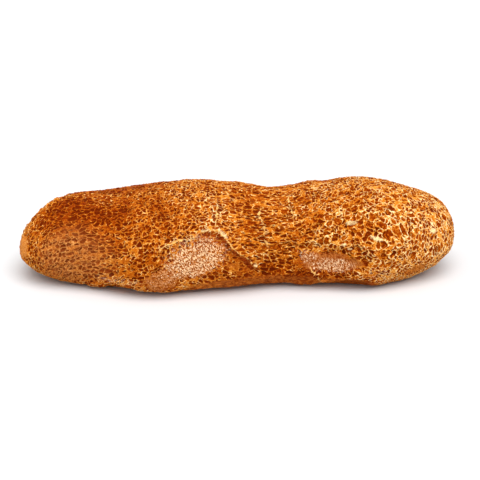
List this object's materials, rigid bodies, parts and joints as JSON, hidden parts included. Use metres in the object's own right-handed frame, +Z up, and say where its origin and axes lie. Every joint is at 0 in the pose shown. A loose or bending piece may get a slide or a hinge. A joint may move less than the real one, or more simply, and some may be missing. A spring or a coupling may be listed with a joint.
{
  "type": "baguette",
  "caption": "Short, thick crusty bread loaf in one piece, with a pitted crackled crust, two lobes, torn lips over floured hollows on its front, and a flat underside to rest on.",
  "frame": {"origin": "centre of the bounding box at the underside, on the table", "axes": "+X along the loaf towards its rounder end, -Y the side with the floured hollows, +Z up"},
  "size_m": [0.3406, 0.123, 0.0723],
  "materials": {
    "crust": "matte baked crust, rough and slightly oily"
  },
  "bodies": {
    "root": {"loaf": "crust"}
  },
  "joints": []
}
